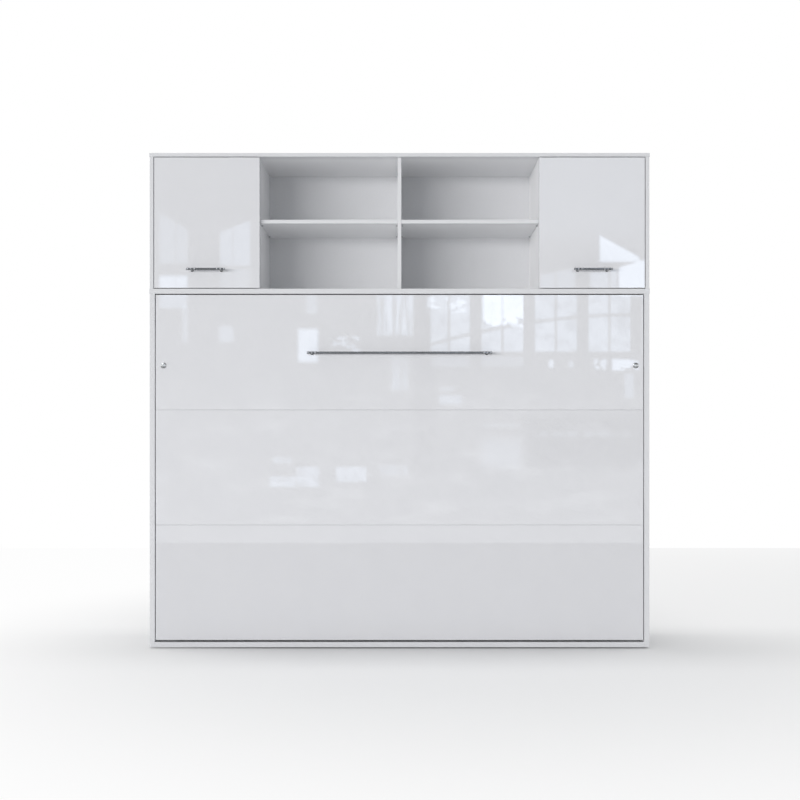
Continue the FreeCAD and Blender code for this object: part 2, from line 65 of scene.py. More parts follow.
# The studio floor, a pale matt sheet that ends a few metres before and behind the bed.
# It is painted board with a faint unevenness in its sheen.
class Paint:
    """One socket of a node tree. Arithmetic on it adds Math nodes, and make() adds any other node."""

    def __init__(self, tree, socket=None):
        self.tree = tree
        self.socket = socket

    def make(self, kind, settings, inputs, out=0):
        """Adds a node of that kind with its settings, sets or links its inputs, and gives one output."""
        node = self.tree.nodes.new(kind)
        for key, value in settings.items():
            setattr(node, key, value)
        for key, value in inputs.items():
            if isinstance(value, Paint):
                self.tree.links.new(value.socket, node.inputs[key])
            else:
                node.inputs[key].default_value = value
        return Paint(self.tree, node.outputs[out])

    def maths(self, operation, first, second):
        """A Math node on two values."""
        return self.make("ShaderNodeMath", {"operation": operation}, {0: first, 1: second})

    def __add__(self, other):
        return self.maths("ADD", self, other)

    def __radd__(self, other):
        return self.maths("ADD", other, self)

    def __sub__(self, other):
        return self.maths("SUBTRACT", self, other)

    def __rsub__(self, other):
        return self.maths("SUBTRACT", other, self)

    def __mul__(self, other):
        return self.maths("MULTIPLY", self, other)

    def __truediv__(self, other):
        return self.maths("DIVIDE", self, other)

    def __pow__(self, other):
        return self.maths("POWER", self, other)

    def above(self, other):
        return self.maths("GREATER_THAN", self, other)

    def below(self, other):
        return self.maths("LESS_THAN", self, other)

    def size(self):
        """This value without its sign."""
        return self.maths("ABSOLUTE", self, 0.0)

    def part(self):
        """This value's part after the point."""
        return self.maths("FRACT", self, 0.0)

    def wave(self):
        """The sine of this value."""
        return self.maths("SINE", self, 0.0)

    def seen(self):
        """1 for what the camera, a mirror or a pane looks at, and 0 for what lights other things."""
        camera = self.make("ShaderNodeLightPath", {}, {}, "Is Camera Ray")
        gloss = self.make("ShaderNodeLightPath", {}, {}, "Is Glossy Ray")
        glass = self.make("ShaderNodeLightPath", {}, {}, "Is Transmission Ray")
        return (camera + gloss + glass).between(0.0, 1.0)

    def axes(self):
        """The three numbers of a vector socket."""
        return [self.make("ShaderNodeSeparateXYZ", {}, {0: self}, out) for out in range(3)]

    def noise(self, scale, detail=2.0, roughness=0.5):
        """Soft noise from 0 to 1, read at this vector."""
        inputs = {"Vector": self, "Scale": scale, "Detail": detail, "Roughness": roughness}
        return self.make("ShaderNodeTexNoise", {}, inputs)

    def stretched(self, scale):
        """This vector with each axis multiplied by its own factor."""
        return self.make("ShaderNodeMapping", {}, {"Vector": self, "Scale": scale})

    def between(self, low, high, new_low=0.0, new_high=1.0):
        """This value taken smoothly from low and high to two new limits."""
        settings = {"interpolation_type": "SMOOTHSTEP"}
        inputs = {0: self, 1: low, 2: high, 3: new_low, 4: new_high}
        return self.make("ShaderNodeMapRange", settings, inputs)

    def blend(self, first, second):
        """Two colours mixed by this value."""
        return self.make("ShaderNodeMix", {"data_type": "RGBA"}, {0: self, 6: first, 7: second}, 2)


def finish_of(name):
    """A new material with its Principled shader, and a Paint that reads Object coordinates in metres."""
    material = bpy.data.materials.new(name)
    material.use_nodes = True
    tree = material.node_tree
    shader = tree.nodes["Principled BSDF"]
    place = Paint(tree).make("ShaderNodeTexCoord", {}, {}, "Object")
    return material, shader, place


def lay(shader, **finish):
    """Puts numbers, colours or Paints on a shader's sockets, with _ for a space in their names."""
    for key, value in finish.items():
        socket = shader.inputs[key.replace("_", " ")]
        if isinstance(value, Paint):
            value.tree.links.new(value.socket, socket)
        else:
            socket.default_value = value


def raised(height, strength, distance):
    """A Bump node whose height is a Paint, as a normal."""
    return height.make("ShaderNodeBump", {}, {"Strength": strength, "Distance": distance, "Height": height})


weld_distance = 1e-7
crease_angle = math.radians(40.0)


def skin(name, points, round_u=False, round_v=False):
    """A surface on a grid of points, rows by columns by three: each cell of four neighbours is one face.
    A round direction joins its last row or column to its first. More grids in one array make one piece."""
    rows, columns = points.shape[-3:-1]
    index = np.arange(rows * columns).reshape(rows, columns)
    if round_u:
        index = np.vstack([index, index[:1]])
    if round_v:
        index = np.hstack([index, index[:, :1]])
    cells = np.stack([index[:-1, :-1], index[1:, :-1], index[1:, 1:], index[:-1, 1:]], axis=-1).reshape(-1, 4)
    points = points.reshape(-1, 3)
    starts = np.arange(0, len(points), rows * columns)
    return mesh_piece(name, points, (cells[None] + starts[:, None, None]).reshape(-1, 4))


def mesh_piece(name, points, faces):
    """A smooth-shaded piece from points and four-cornered faces, with points that meet joined into one."""
    mesh = bpy.data.meshes.new(name)
    mesh.from_pydata(points.tolist(), [], faces.tolist())
    form = bmesh.new()
    form.from_mesh(mesh)
    bmesh.ops.remove_doubles(form, verts=form.verts, dist=weld_distance)
    form.to_mesh(mesh)
    form.free()
    mesh.polygons.foreach_set("use_smooth", np.ones(len(mesh.polygons), bool))
    mesh.set_sharp_from_angle(angle=crease_angle)
    mesh.update()
    piece = bpy.data.objects.new(name, mesh)
    bpy.context.scene.collection.objects.link(piece)
    return piece


floor_reach_x = 6.0
floor_front = front_plane - 4.72
floor_back = front_plane + 4.32
floor_x, floor_y = np.meshgrid([floor_reach_x, -floor_reach_x], [floor_front, floor_back], indexing="ij")
floor = skin("floor", np.stack([floor_x, floor_y, np.zeros_like(floor_x)], axis=-1))
floor_paint, shader, place = finish_of("pale_floor")
lay(shader, Base_Color=(0.86, 0.86, 0.862, 1.0), Roughness=place.noise(1.5).between(0.0, 1.0, 0.75, 0.85))
lay(shader, Specular_IOR_Level=0.2)
floor_side, floor_depth, _ = place.axes()
from_bed = (floor_side * floor_side + floor_depth * floor_depth) ** 0.5
# Camera and mirror rays see the floor blended into a white glow. This is painted light that grows away from
# the bed and is paler to the left. Right of and behind the bed it is held at a middle level, so the floor's
# real shadow shows through there.
painted_glow = (from_bed - floor_side * 0.22).between(0.5, 2.9, 0.0, 0.96)
shaded_corner = floor_side.between(0.6, 1.6) * floor_depth.between(-0.3, 0.6)
painted_glow = painted_glow + (floor_depth * 0.09 + 0.42 - painted_glow) * shaded_corner
seen_painted_glow = painted_glow * place.seen()
glow_white_emission = place.make("ShaderNodeEmission", {}, {"Color": (1.0, 1.0, 1.0, 1.0), "Strength": 1.0})
painted = Paint(floor_paint.node_tree, shader.outputs[0])
painted_glow_blend = place.make("ShaderNodeMixShader", {}, {0: seen_painted_glow, 1: painted, 2: glow_white_emission})
floor_out = floor_paint.node_tree.nodes["Material Output"]
floor_paint.node_tree.links.new(painted_glow_blend.socket, floor_out.inputs["Surface"])
floor.data.materials.append(floor_paint)


# Plain studio light: an even pale surround, a broad soft light from the left front and a strip overhead.
# A lamp over the floor lights only the floor.
# The background is white wherever the camera, a mirror or a pane looks at it.
surround_level = 0.48
surround_tint = (0.97, 0.985, 1.0, 1.0)
world = bpy.data.worlds.new("surround")
world.use_nodes = True
world.node_tree.nodes.clear()
sky = Paint(world.node_tree)
lit = sky.make("ShaderNodeBackground", {}, {"Color": surround_tint, "Strength": surround_level})
white = sky.make("ShaderNodeBackground", {}, {"Color": (1.0, 1.0, 1.0, 1.0), "Strength": 1.0})
backdrop = sky.make("ShaderNodeMixShader", {}, {0: sky.seen(), 1: lit, 2: white})
world_out = world.node_tree.nodes.new("ShaderNodeOutputWorld")
world.node_tree.links.new(backdrop.socket, world_out.inputs["Surface"])
bpy.context.scene.world = world


def soft_light(name, width, height, energy, location):
    """A rectangular lamp that shows neither in the picture nor in reflections."""
    lamp = bpy.data.lights.new(name, "AREA")
    lamp.shape = "RECTANGLE"
    lamp.size = width
    lamp.size_y = height
    lamp.energy = energy
    light = bpy.data.objects.new(name, lamp)
    light.location = location
    light.visible_glossy = False
    light.visible_camera = False
    bpy.context.scene.collection.objects.link(light)
    return light


day_turn = math.radians(40.0)
day_reach = 40.0
day_height = 2.7
day_place = (-day_reach * math.sin(day_turn), -day_reach * math.cos(day_turn), day_height)
day = soft_light("day_light", width=37.2, height=6.6, energy=9200.0, location=day_place)
day.data.color = (1.0, 0.99, 0.98)
day.rotation_euler = (math.pi / 2, 0.0, -day_turn)
overhead = soft_light("floor_light", width=9.0, height=8.0, energy=95.0, location=(-0.6, -1.0, 5.6))
floor_only = bpy.data.collections.new("floor_only")
floor_only.objects.link(floor)
overhead.light_linking.receiver_collection = floor_only
strip_place = (0.0, front_plane + 0.42, 6.0)
soft_light("top_light", width=6.0, height=0.8, energy=110.0, location=strip_place)


# The room behind the camera: a dark floor, a wall with tall windows, curving up into a dark ceiling.
# Only polished surfaces show it, as panes of daylight between piers.
room_distance = 7.0
room_half = 9.0
room_height = 5.0
room_bend = 0.8
rug_level = 0.002
rug_end = floor_front
plane_margin = 0.01
bend = np.linspace(0.0, math.pi / 2, 9)
wall_line = front_plane - room_distance
behind = front_plane + 0.5
ceiling_end = front_plane + 1.5
room_y = np.concatenate([
    [behind, rug_end, wall_line], wall_line + room_bend * (1.0 - np.cos(bend)), [ceiling_end]])
room_z = np.concatenate([
    [rug_level, rug_level, rug_level], room_height - room_bend + room_bend * np.sin(bend), [room_height]])
room_points = np.empty((2, len(room_y), 3))
room_points[..., 0] = np.array([-room_half, room_half])[:, None]
room_points[..., 1] = room_y[None, :]
room_points[..., 2] = room_z[None, :]
room = skin("studio_room", room_points)
room_paint = bpy.data.materials.new("studio_room")
room_paint.use_nodes = True
room_paint.node_tree.nodes.clear()
place = Paint(room_paint.node_tree).make("ShaderNodeTexCoord", {}, {}, "Object")
across, forward, up = place.axes()


def lit_pane(left, right, low, high, soft=0.02):
    """A soft-edged patch of light on the wall, 1 between its four limits and 0 outside."""
    wide = across.between(left - soft, left + soft) * (1.0 - across.between(right - soft, right + soft))
    return wide * up.between(low - soft, low + soft) * (1.0 - up.between(high - soft, high + soft))


on_wall = forward.below(wall_line + plane_margin) * up.above(plane_margin)
on_ceiling = up.above(room_height - room_bend)
on_rug = up.below(plane_margin) * forward.above(rug_end)
window_pitch = 0.566
window_phase = 0.326
pier_share = 0.11
window_place = (across + window_phase) / window_pitch
cell = window_place.part()
from_pier = 0.5 - (cell - 0.5).size()
pane = from_pier.between(pier_share - 0.015, pier_share + 0.015)
mullion = from_pier.between(0.465, 0.478)
bar_line = 2.20 - (across - 2.5) ** 2.0 * 0.067
bar_off = up - bar_line
bar = bar_off.size().between(0.012, 0.030, 1.0, 0.0)
glazing = (1.0 - mullion * 0.75) * (1.0 - bar * 0.75)
leaves = place.stretched((2.2, 1.0, 3.0)).noise(2.4, 5.0, 0.6)
twigs = place.stretched((1.6, 1.0, 2.0)).noise(7.0, 4.0, 0.6)
bays = lit_pane(0.33, 2.57, 1.81, 2.42) * pane * glazing * leaves.between(0.30, 0.60, 1.8, 3.7)
glare = lit_pane(0.89, 1.33, 2.34 - twigs * 0.45, 2.6) * pane * 5.5
glare = glare + lit_pane(0.29, 0.70, 2.22, 2.6) * twigs.between(0.50, 0.58) * 4.0
low_row = lit_pane(1.58, 1.63, 1.64, 1.72) * 4.5 + lit_pane(1.79, 1.84, 1.64, 1.71) * 2.5
low_row = low_row + lit_pane(2.06, 2.19, 1.62, 1.73) * twigs.between(0.40, 0.50) * 4.0
low_row = low_row + lit_pane(2.25, 2.53, 1.61, 1.73) * twigs.between(0.38, 0.48) * 5.5
low_row = low_row + lit_pane(0.34, 1.32, 1.65, 1.76) * pane * 1.1 + lit_pane(2.38, 2.48, 1.32, 1.58) * 1.8
low_row = low_row + lit_pane(0.42, 0.66, 1.25, 1.35, 0.03) * 2.0 + lit_pane(0.43, 0.58, 1.39, 1.44) * 1.4
far_left = lit_pane(-2.54, -2.25, 2.27, 2.60) * 2.0 + lit_pane(-2.30, -2.24, 1.90, 2.30) * 1.3
far_left = far_left + lit_pane(-1.91, -1.76, 1.91, 2.08, 0.03) * 2.0
doorway = lit_pane(-1.07, -0.865, 1.70, 2.05, 0.03) * 5.0 + lit_pane(-0.99, -0.87, 2.21, 2.60) * 1.5
doorway = doorway + lit_pane(-0.70, -0.42, 1.80, 1.97) * twigs.between(0.50, 0.58) * 3.0
streaks = place.stretched((6.0, 1.0, 0.6)).noise(3.0, 3.0, 0.6)
doorway = doorway + lit_pane(-0.24, 0.146, 1.98, 2.60) * streaks.between(0.35, 0.62, 0.6, 4.0)
doorway = doorway + lit_pane(-0.10, 0.09, 1.40, 1.77, 0.04) * streaks.between(0.35, 0.62, 0.6, 2.0)
gable_left = lit_pane(-2.54, -2.24, 2.74, 3.10 - (across + 2.24) * 0.6) * 1.4
gable_left = gable_left + lit_pane(-1.90, -1.58, 2.72, 3.07 + (across + 1.90) * 0.4) * 2.2
gable_left = gable_left + lit_pane(-2.54, -2.24, 2.40, 2.62) * 2.6 + lit_pane(-1.90, -1.58, 2.40, 2.69) * 1.1
gable_right = lit_pane(2.12, 2.54, 2.76, 3.04 - (across - 2.12) * 0.55) * 6.0
gable_right = gable_right + lit_pane(2.32, 2.60, 2.40, 2.70 + (across - 2.32) * 0.3) * 6.5
low_gable = lit_pane(2.02, 2.30, 2.40, 2.68) * 2.6
low_gable = low_gable + lit_pane(1.49, 1.86, 2.40, 2.62 + (across - 1.49) * 0.2) * 1.7
gable_right = gable_right + low_gable * (1.0 - mullion * 0.6)
far_row = lit_pane(-1.371, -1.096, 0.376, 0.49) * 2.2 + lit_pane(-1.088, -0.849, 0.38, 0.588) * 2.4
far_row = far_row + lit_pane(-0.672, -0.348, 0.433, 0.591) * 2.4 + lit_pane(-0.207, 0.09, 0.504, 0.61) * 1.2
far_row = far_row + lit_pane(-1.338, -1.14, 0.627, 0.697) * 1.5
far_row = far_row * twigs.between(0.35, 0.60, 0.6, 1.2)
far_row = far_row + lit_pane(0.86, 1.30, 0.56, 0.90, 0.08) * 1.1 + lit_pane(0.88, 1.28, 1.01, 1.05) * 1.0
far_row = far_row + lit_pane(1.41, 2.45, 0.91, 0.97) * twigs.between(0.40, 0.55) * 1.2
dim = lit_pane(1.34, 2.62, 0.56, 1.13, 0.10) * 0.35 + lit_pane(0.15, 0.39, 0.50, 2.60, 0.04) * 0.2
clutter = place.stretched((0.8, 1.0, 2.4)).noise(2.6, 4.0, 0.6).between(0.45, 0.75)
low_wall = 1.0 - up.between(1.10, 1.70)
bars_left = lit_pane(-2.376, -2.360, 2.40, 3.20, 0.008) + lit_pane(-1.772, -1.756, 2.40, 3.20, 0.008)
gable_left = gable_left * (1.0 - bars_left * 0.6)
high_right = lit_pane(1.30, 2.70, 2.95, 4.30, 0.25) * 0.9
window_glow = bays + glare + low_row + far_left + doorway + gable_left + gable_right + high_right + far_row
wall_glow = window_glow * 0.5 - dim + 0.80 + clutter * low_wall * 0.5
skylight = across.between(-5.2, -5.0) * (1.0 - across.between(-2.1, -1.9)) * forward.between(-5.2, -5.0)
skylight = skylight * (1.0 - forward.between(-1.4, -1.2)) * on_ceiling * 3.2
far_floor = (1.0 - on_wall) * (1.0 - on_ceiling) * (1.0 - on_rug)
glow = on_wall * wall_glow + far_floor * 0.85 + on_rug * 0.16 + on_ceiling * 0.08 + skylight
tint = (window_glow * 0.5).between(0.0, 1.0).blend((0.93, 0.965, 1.0, 1.0), (0.81, 0.92, 1.08, 1.0))
emission = place.make("ShaderNodeEmission", {}, {"Color": tint, "Strength": glow})
room_out = room_paint.node_tree.nodes.new("ShaderNodeOutputMaterial")
room_paint.node_tree.links.new(emission.socket, room_out.inputs["Surface"])
room.data.materials.append(room_paint)
room.visible_camera = False
room.visible_diffuse = False
room.visible_shadow = False
room.visible_transmission = False


# Carcass boards: sides, tops, bottom, rails, partitions and shelves of white-faced chipboard.
# A melamine skin with a fine pearl grain, butt-jointed with hidden dowels and cam fittings.
def dress(finish, *names):
    """Gives named CAD pieces a finish."""
    for name in names:
        nodes[name].data.materials.clear()
        nodes[name].data.materials.append(finish)


board_white = (0.708, 0.715, 0.735, 1.0)
# A paler white for the faces inside the cabinet: painted light for light bounced about inside it.
painted_bounce_white = (0.872, 0.876, 0.888, 1.0)
chip_dark = (0.33, 0.24, 0.15, 1.0)
chip_pale = (0.60, 0.49, 0.35, 1.0)
back_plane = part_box("bed_top_board")[1][1]
side_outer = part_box("bed_side_right")[1][0]
top_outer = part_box("hutch_top_board")[1][2]
face_skin = 0.0005
for finish_name, raw_edge in (("white_melamine", 1.0), ("white_melamine_rail", 0.0)):
    melamine, shader, place = finish_of(finish_name)
    pearl = place.noise(900.0, 2.0, 0.6)
    cloud = place.noise(3.0, 3.0)
    along, deep, up = place.axes()
    # Inside the cabinet, from just behind the front edges, the faces are painted paler. This painted light
    # stands in for light bounced about the cubbies and under the boards.
    indoors = along.size().below(side_outer - face_skin) * up.below(top_outer - face_skin)
    behind_front = deep.between(front_plane + 0.001, front_plane + 0.070)
    painted_bounce = behind_front * cloud.between(0.3, 0.7, 0.94, 1.0) * indoors
    chips = place.stretched((1.0, 1.0, 1.6)).noise(420.0, 2.0, 0.7)
    raw = deep.above(back_plane - 0.0002) * raw_edge
    skin_and_bounce_tone = painted_bounce.blend(board_white, painted_bounce_white)
    lay(shader, Base_Color=raw.blend(skin_and_bounce_tone, chips.between(0.35, 0.65).blend(chip_dark, chip_pale)))
    lay(shader, Roughness=cloud.between(0.2, 0.8, 0.36, 0.46) + raw * 0.4, Specular_IOR_Level=0.45)
    lay(shader, Normal=raised(pearl + raw * chips * 4.0, 0.10, 0.0003))
    if raw_edge:
        dress(melamine, "bed_side_left", "bed_side_right", "bed_bottom_board", "bed_top_board")
        dress(melamine, "hutch_side_left", "hutch_side_right", "hutch_top_board", "hutch_divider")
        dress(melamine, "hutch_partition_left", "hutch_partition_right")
        dress(melamine, "hutch_shelf_left", "hutch_shelf_right")
    else:
        dress(melamine, "rear_rails")


# Cover caps: thin white plastic discs over the screws that hold the boards to the two sides.
# Each is pressed into its screw's socket.
cap_radius = 0.006
cap_rise = 0.0008
cap_edge = 0.0005
bottom_low, bottom_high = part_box("bed_bottom_board")
rail_low, rail_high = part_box("rear_rails")
rail_half_thickness = 0.009
outer_screw = 0.032
inner_screw = 0.088
front_screw = 0.06
rear_screw = 0.27
rail_middle = back_plane - rail_half_thickness
bottom_middle = (bottom_low[2] + bottom_high[2]) / 2
screw_levels = ((rail_low[2] + outer_screw, rail_middle), (rail_low[2] + inner_screw, rail_middle),
                (rail_high[2] - inner_screw, rail_middle), (rail_high[2] - outer_screw, rail_middle),
                (bottom_middle, front_plane + front_screw), (bottom_middle, front_plane + rear_screw))


def turned(name, profile, places, axis, sign=1.0, sides=24):
    """Round pieces, all alike: each point of a profile, a radius and a height from the tip to the base,
    goes round a line along one axis, and the turned surface is set at every place."""
    angle = np.arange(sides) * 2.0 * math.pi / sides
    radius, height = np.array(profile).T
    ring = np.zeros((len(radius), sides, 3))
    ring[..., (axis + 1) % 3] = radius[:, None] * np.cos(angle)
    ring[..., (axis + 2) % 3] = radius[:, None] * np.sin(angle) * sign
    ring[..., axis] = sign * height[:, None]
    return skin(name, ring + np.array(places)[:, None, None, :], round_v=True)


def carry(piece, finish, body):
    """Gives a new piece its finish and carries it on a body."""
    piece.data.materials.append(finish)
    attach(piece, body)


cap_plastic, shader, place = finish_of("white_cap_plastic")
cap_tone = place.noise(60.0).between(0.3, 0.7)
lay(shader, Base_Color=cap_tone.blend((0.74, 0.745, 0.755, 1.0), (0.77, 0.775, 0.785, 1.0)))
lay(shader, Roughness=place.noise(800.0).between(0.2, 0.8, 0.4, 0.5))
cap_profile = [(0.0, cap_rise), (cap_radius - cap_edge, cap_rise), (cap_radius, cap_rise - cap_edge),
               (cap_radius, 0.0), (0.0, 0.0)]
for side, sign in (("left", -1.0), ("right", 1.0)):
    places = [(sign * side_outer, depth, level) for level, depth in screw_levels]
    caps = turned("cover_caps_" + side, cap_profile, places, 0, sign)
    carry(caps, cap_plastic, "cabinet")


# Hutch back: one thin sheet of hardboard, painted white and nailed to the back edges.
# Its paint is flatter than the boards' skin and shows a little of the fibre.
hardboard, shader, place = finish_of("painted_hardboard")
fibre = place.stretched((1.0, 1.0, 0.35)).noise(420.0, 3.0, 0.65)
nail_x, nail_y, nail_z = place.axes()
nail_pitch = 0.14
nail_inset = 0.008
back_low, back_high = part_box("hutch_back_panel")
nail_row = (nail_z - back_low[2] - nail_inset) * (back_high[2] - nail_inset - nail_z)
nail_row = nail_row.size().between(0.0006, 0.0010, 1.0, 0.0)
nail_off = (nail_x / nail_pitch).part() - 0.5
nails = nail_off.size().between(0.010, 0.016, 1.0, 0.0) * nail_row
nails = nails * nail_y.above(back_high[1] - face_skin)
fibre_tone = fibre.between(0.3, 0.7).blend((0.735, 0.742, 0.762, 1.0), (0.755, 0.761, 0.780, 1.0))
lay(shader, Base_Color=nails.blend(fibre_tone, (0.30, 0.30, 0.31, 1.0)))
lay(shader, Roughness=fibre.between(0.2, 0.8, 0.52, 0.62), Specular_IOR_Level=0.35)
lay(shader, Normal=raised(fibre, 0.12, 0.0004))
dress(hardboard, "hutch_back_panel")


# Gloss fronts: three boards on the bed and the two flaps, fibreboard in polished white lacquer.
# The lacquer lies on the front and its eased edges, and the backs have a plain satin skin.
lacquer, shader, place = finish_of("white_gloss_lacquer")
_, deep, _ = place.axes()
lacquered = 1.0 - deep.between(front_plane + 0.0012, front_plane + 0.0022)
peel = place.noise(140.0, 1.0, 0.4)
ripple = place.noise(9.0, 2.0, 0.4)
lay(shader, Base_Color=ripple.between(0.3, 0.7).blend((0.716, 0.720, 0.746, 1.0), (0.724, 0.728, 0.753, 1.0)))
lay(shader, Roughness=0.40, Specular_IOR_Level=0.0, Coat_Weight=lacquered.between(0.0, 1.0, 0.25, 1.0))
lay(shader, Coat_Roughness=0.015, Coat_IOR=1.8)
lay(shader, Normal=raised(peel * 0.06 + ripple, 0.03, 0.002))
dress(lacquer, "front_board_lower", "front_board_middle", "front_board_upper")
dress(lacquer, "flap_door_left", "flap_door_right")


# Handles, legs and foot caps: turned steel, chrome plated, with satin caps and satin rings on the bars.
# The bars are screwed to their posts, and the posts through the boards from behind.
chrome, shader, place = finish_of("chrome_plate")
smudge = place.noise(35.0, 3.0, 0.6)
lay(shader, Base_Color=smudge.between(0.3, 0.7).blend((0.58, 0.59, 0.605, 1.0), (0.64, 0.65, 0.665, 1.0)))
lay(shader, Metallic=1.0, Roughness=smudge.between(0.3, 0.8, 0.05, 0.12))
dress(chrome, "bed_handle_posts", "legs")
dress(chrome, "flap_handle_posts_left", "flap_handle_posts_right")
ring_pitch = 0.015
first_ring = 0.005
last_ring = 0.040
for finish_name, bar_names in (("ringed_chrome_long", ["bed_handle_bar"]),
                               ("ringed_chrome_short", ["flap_handle_bar_right", "flap_handle_bar_left"])):
    ringed, shader, place = finish_of(finish_name)
    bar_low, bar_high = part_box(bar_names[0])
    along, _, _ = place.axes()
    from_end = (bar_high[0] - bar_low[0]) / 2 - (along.size() - (bar_high[0] + bar_low[0]) / 2).size()
    off_ring = (((from_end - first_ring) / ring_pitch + 0.5).part() - 0.5).size()
    near_end = from_end.between(last_ring - 0.001, last_ring + 0.001, 1.0, 0.0)
    ring = off_ring.between(0.13, 0.20, 1.0, 0.0) * near_end
    smudge = place.noise(35.0, 3.0, 0.6)
    # The bars' plate is darker than the posts' chrome: painted shade that stands in for the dark reflection
    # along the bars.
    bar_plate_with_painted_shade = smudge.between(0.3, 0.7).blend((0.38, 0.39, 0.405, 1.0), (0.44, 0.45, 0.465, 1.0))
    lay(shader, Base_Color=ring.blend(bar_plate_with_painted_shade, (0.72, 0.73, 0.75, 1.0)))
    lay(shader, Metallic=1.0, Roughness=smudge.between(0.3, 0.8, 0.05, 0.12) + ring * 0.25)
    dress(ringed, *bar_names)
satin, shader, place = finish_of("satin_plate")
smudge = place.noise(60.0, 3.0, 0.6)
lay(shader, Base_Color=smudge.between(0.3, 0.7).blend((0.78, 0.79, 0.80, 1.0), (0.82, 0.83, 0.84, 1.0)))
lay(shader, Metallic=0.8, Roughness=smudge.between(0.3, 0.8, 0.26, 0.32))
dress(satin, "leg_caps")


# Bed frame: square steel tube, welded and powder coated in silver grey.
# The coat has a fine orange-peel and a few specks of flake.
coat, shader, place = finish_of("silver_powder_coat")
fleck = place.noise(1600.0, 1.0)
peel = place.noise(500.0, 2.0)
lay(shader, Base_Color=fleck.between(0.35, 0.7).blend((0.33, 0.335, 0.345, 1.0), (0.42, 0.425, 0.435, 1.0)))
lay(shader, Metallic=0.25, Roughness=peel.between(0.2, 0.8, 0.38, 0.5))
lay(shader, Normal=raised(peel, 0.2, 0.0003))
dress(coat, "frame_rail_lower", "frame_rail_centre", "frame_rail_upper", "frame_ends")
dress(coat, "frame_cross_tubes", "leg_guides")


# Fittings: pivot plates, brackets, pins, hinges and studs of zinc-plated pressed steel.
# The plating is dull and a little cloudy, with fine lines from the rolled sheet.
zinc, shader, place = finish_of("zinc_plate")
cloud = place.noise(26.0, 4.0, 0.6)
rolled = place.stretched((1.0, 1.0, 0.04)).noise(1400.0, 2.0)
lay(shader, Base_Color=cloud.between(0.3, 0.7).blend((0.50, 0.51, 0.52, 1.0), (0.62, 0.63, 0.64, 1.0)))
lay(shader, Metallic=1.0, Roughness=cloud.between(0.2, 0.8, 0.26, 0.4))
lay(shader, Normal=raised(rolled, 0.1, 0.0002))
dress(zinc, "pivot_plate_left", "pivot_plate_right", "pivot_bracket_left", "pivot_bracket_right")
dress(zinc, "pivot_pins", "shelf_pins", "flap_hinge_fixed_leaves", "flap_hinge_pins", "strut_studs")
dress(zinc, "flap_hinge_leaves_left", "flap_hinge_leaves_right")
dress(zinc, "flap_strut_bracket_left", "flap_strut_bracket_right")


# Screws and bolts: pan heads with a round socket, and hexagon heads on washers, in zinc-plated steel.
# They hold the pivot plates, the brackets, the strut bases and the flap handles.
pan_radius = 0.0050
pan_rise = 0.0024
socket_radius = 0.0016
washer_radius = 0.0090
washer_rise = 0.0016
washer_edge = 0.0003
bolt_radius = 0.0072
bolt_rise = 0.0052
bolt_edge = 0.0007
small_pan_radius = 0.0034
small_pan_rise = 0.0018
tiny_pan_radius = 0.0028
tiny_pan_rise = 0.0010


def pan_head(radius, rise):
    """The profile of a pan head from the floor of its socket over a domed crown to its seat."""
    return [(0.0, rise * 0.35), (socket_radius, rise * 0.35), (socket_radius, rise),
            (radius * 0.55, rise * 0.97), (radius * 0.82, rise * 0.80), (radius, rise * 0.42),
            (radius, 0.0), (0.0, 0.0)]


def fix(piece, body):
    """Gives a fixing its plating and carries it on a body."""
    carry(piece, zinc, body)


hexagon = [(0.0, bolt_rise), (bolt_radius * 0.84, bolt_rise), (bolt_radius, bolt_rise - bolt_edge),
           (bolt_radius, washer_rise), (0.0, washer_rise)]
washer = [(0.0, washer_rise), (washer_radius - washer_edge, washer_rise),
          (washer_radius, washer_rise - washer_edge), (washer_radius, 0.0), (0.0, 0.0)]
plate_low, plate_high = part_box("pivot_plate_right")
bracket_low, bracket_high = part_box("pivot_bracket_right")
fitting_plate = 0.003
bracket_plate = 0.005
tube_depth = 0.038
plate_screw_inset = 0.017
plate_end_inset = 0.034
low_bolt = 0.018
middle_bolt = 0.078
high_bolt = 0.022
handle_post_inset = 0.020
foot_columns = (0.007, 0.027)
foot_rows = (-0.013, 0.013)
stud_rows = (-0.0075, 0.0075)
tube_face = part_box("frame_ends")[1][0] + bracket_plate
tube_middle = front_plane + tube_depth
plate_screw_y = plate_high[1] - plate_screw_inset
plate_levels = np.linspace(plate_low[2] + plate_end_inset, plate_high[2] - plate_end_inset, 3)
bolt_levels = (bracket_low[2] + low_bolt, bracket_low[2] + middle_bolt, bracket_high[2] - high_bolt)
flap_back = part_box("flap_door_right")[1][1]
handle_low, handle_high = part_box("flap_handle_bar_right")
handle_z = (handle_low[2] + handle_high[2]) / 2
post_places = (handle_low[0] + handle_post_inset, handle_high[0] - handle_post_inset)
foot_low, foot_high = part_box("flap_strut_bracket_right")
foot_face = flap_back + fitting_plate
foot_z = (foot_low[2] + foot_high[2]) / 2
stud_low, stud_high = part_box("strut_studs")
stud_face = stud_high[0] - fitting_plate
stud_y = (stud_low[1] + stud_high[1]) / 2
stud_z = (stud_low[2] + stud_high[2]) / 2
